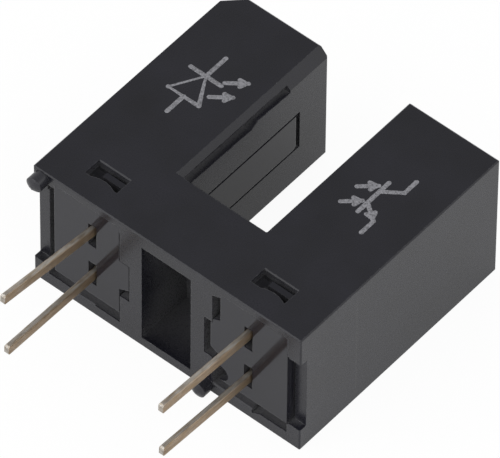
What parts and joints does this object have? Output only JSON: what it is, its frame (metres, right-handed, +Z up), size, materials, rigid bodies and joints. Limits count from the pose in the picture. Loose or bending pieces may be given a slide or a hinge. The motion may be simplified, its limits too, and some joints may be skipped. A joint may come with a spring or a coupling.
{
  "type": "slotted optical switch",
  "caption": "U-shaped black photo-interrupter for a circuit board: a light source and a detector face each other across a slot, with flat tinned leads and locating pegs.",
  "frame": {"origin": "middle of the part's outline as seen from above, midway between the lead tips and the arm tips, on the surface that it lies on", "axes": "+Z up from the broad face that it lies on, +Y along the arms away from the leads, +X from the light source's arm to the detector's arm"},
  "size_m": [0.013, 0.0164, 0.0064],
  "materials": {
    "housing_plastic": "moulded, satin black",
    "infrared_resin": "moulded, glossy black, passes infrared",
    "clear_epoxy": "moulded, clear",
    "dark_epoxy": "moulded, dark",
    "led_crystal": "polished crystal",
    "silicon": "polished silicon",
    "gold_wire": "drawn gold",
    "tinned_lead": "tinned, tarnished"
  },
  "bodies": {
    "root": {"housing": "housing_plastic", "led_holder": "infrared_resin", "detector_holder": "infrared_resin", "led_package": "clear_epoxy", "detector_package": "dark_epoxy", "led_chip": "led_crystal", "detector_chip": "silicon", "led_bond_wire": "gold_wire", "detector_bond_wire": "gold_wire", "led_anode_lead": "tinned_lead", "led_cathode_lead": "tinned_lead", "detector_emitter_lead": "tinned_lead", "detector_collector_lead": "tinned_lead"}
  },
  "joints": []
}
